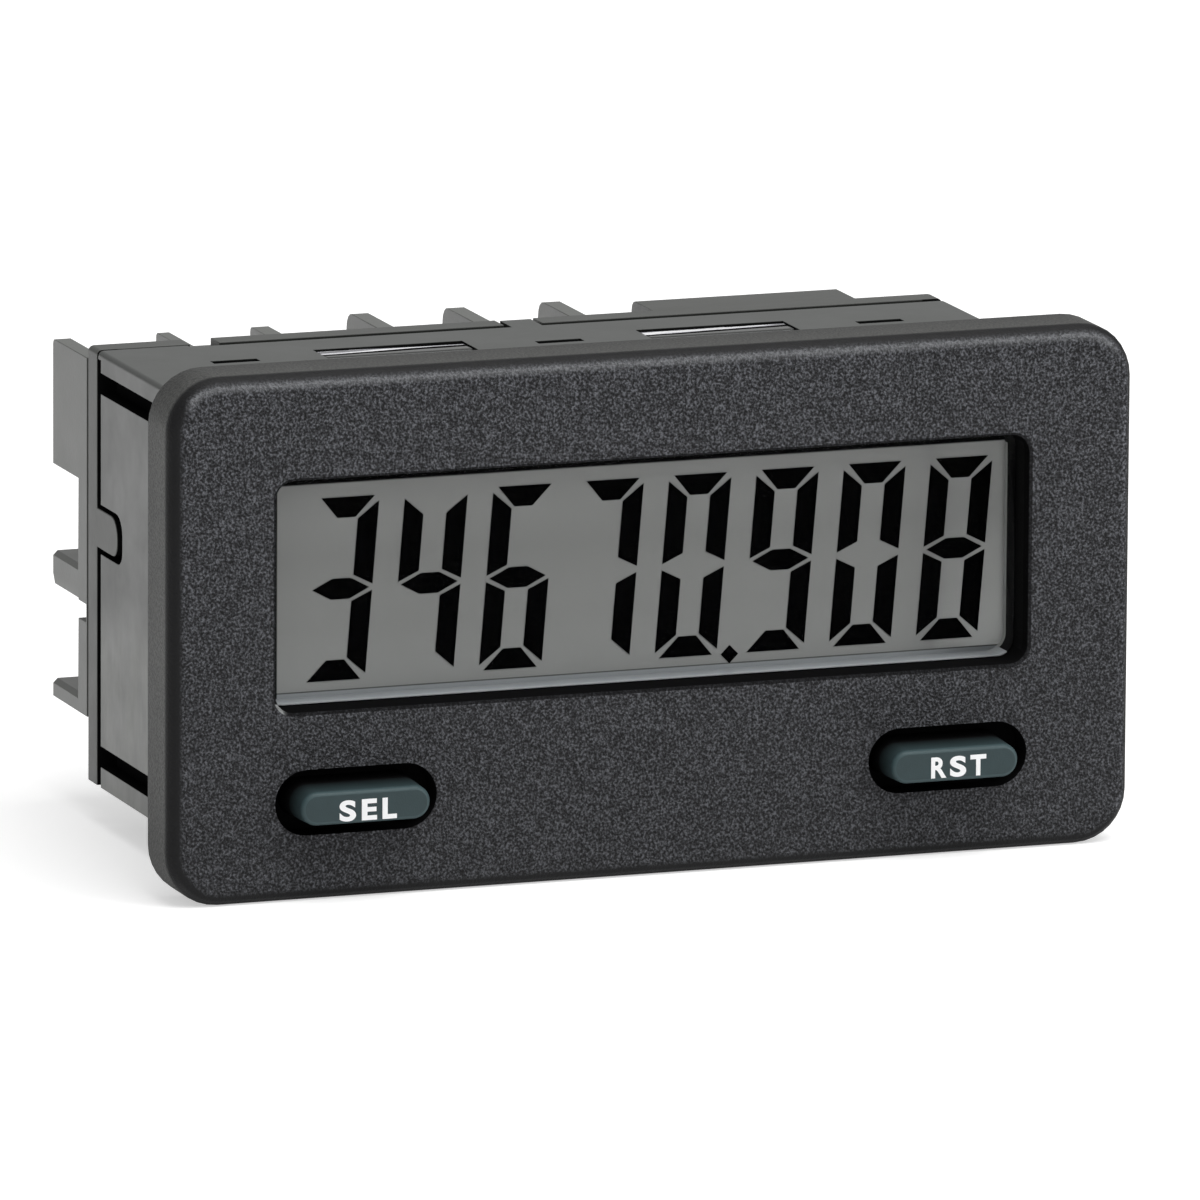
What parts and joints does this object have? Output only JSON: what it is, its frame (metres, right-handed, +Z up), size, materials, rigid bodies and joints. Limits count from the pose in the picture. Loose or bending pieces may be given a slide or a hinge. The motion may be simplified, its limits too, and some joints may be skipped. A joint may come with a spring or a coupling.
{
  "type": "panel counter",
  "caption": "Battery-powered digital panel counter: wide bezel with a liquid-crystal window and sprung push buttons, box case, rear screw terminals between barrier fins.",
  "frame": {"origin": "on the ground at the lowest edge of the bezel, centred across the width and the depth of the whole part", "axes": "+X to the right as seen from the front, +Y from the front of the bezel to the terminals, +Z up"},
  "size_m": [0.075, 0.042, 0.0392],
  "materials": {
    "dark_plastic": "black moulded thermoplastic, grained on the bezel's front and smooth behind it",
    "black_plastic": "smooth black",
    "clear_plastic": "clear and glossy",
    "display_glass": "neutral grey reflective liquid-crystal glass",
    "silicone": "dark green-grey satin silicone",
    "conductive_rubber": "black carbon-filled rubber",
    "circuit_board": "green solder mask",
    "chip_resin": "black potting resin",
    "nickel": "bright nickel plate",
    "brass": "plain bent brass sheet",
    "cell_jacket": "satin metal can"
  },
  "bodies": {
    "counter": {"case": "dark_plastic", "rear_cover": "dark_plastic", "terminal_block": "dark_plastic", "window_lens": "clear_plastic", "lcd_cell": "display_glass", "lcd_holder": "black_plastic", "upper_connector_strip": "conductive_rubber", "lower_connector_strip": "conductive_rubber", "display_board": "circuit_board", "counting_chip": "chip_resin", "timing_crystal": "nickel", "reservoir_capacitor": "cell_jacket", "board_link": "black_plastic", "terminal_board": "circuit_board", "clear_insulator": "clear_plastic", "keypad_mat": "silicone", "battery": "cell_jacket", "positive_contact": "nickel", "negative_contact": "nickel", "terminal_clamp_1": "brass", "terminal_clamp_2": "brass", "terminal_clamp_3": "brass", "terminal_clamp_4": "brass", "terminal_clamp_5": "brass", "terminal_clamp_6": "brass", "terminal_screw_1": "nickel", "terminal_screw_2": "nickel", "terminal_screw_3": "nickel", "terminal_screw_4": "nickel", "terminal_screw_5": "nickel", "terminal_screw_6": "nickel", "wire_washer_1": "nickel", "wire_washer_2": "nickel", "wire_washer_3": "nickel", "wire_washer_4": "nickel", "wire_washer_5": "nickel", "wire_washer_6": "nickel"},
    "sel_key": {"sel_button": "silicone", "sel_contact_pill": "conductive_rubber"},
    "rst_key": {"rst_button": "silicone", "rst_contact_pill": "conductive_rubber"}
  },
  "joints": [
    {"name": "sel_press", "type": "slide", "parent": "counter", "child": "sel_key", "axis": [0, 1, 0], "range_m": [0, 0.0009], "stiffness_N_per_m": 1200},
    {"name": "rst_press", "type": "slide", "parent": "counter", "child": "rst_key", "axis": [0, 1, 0], "range_m": [0, 0.0009], "stiffness_N_per_m": 1200}
  ]
}
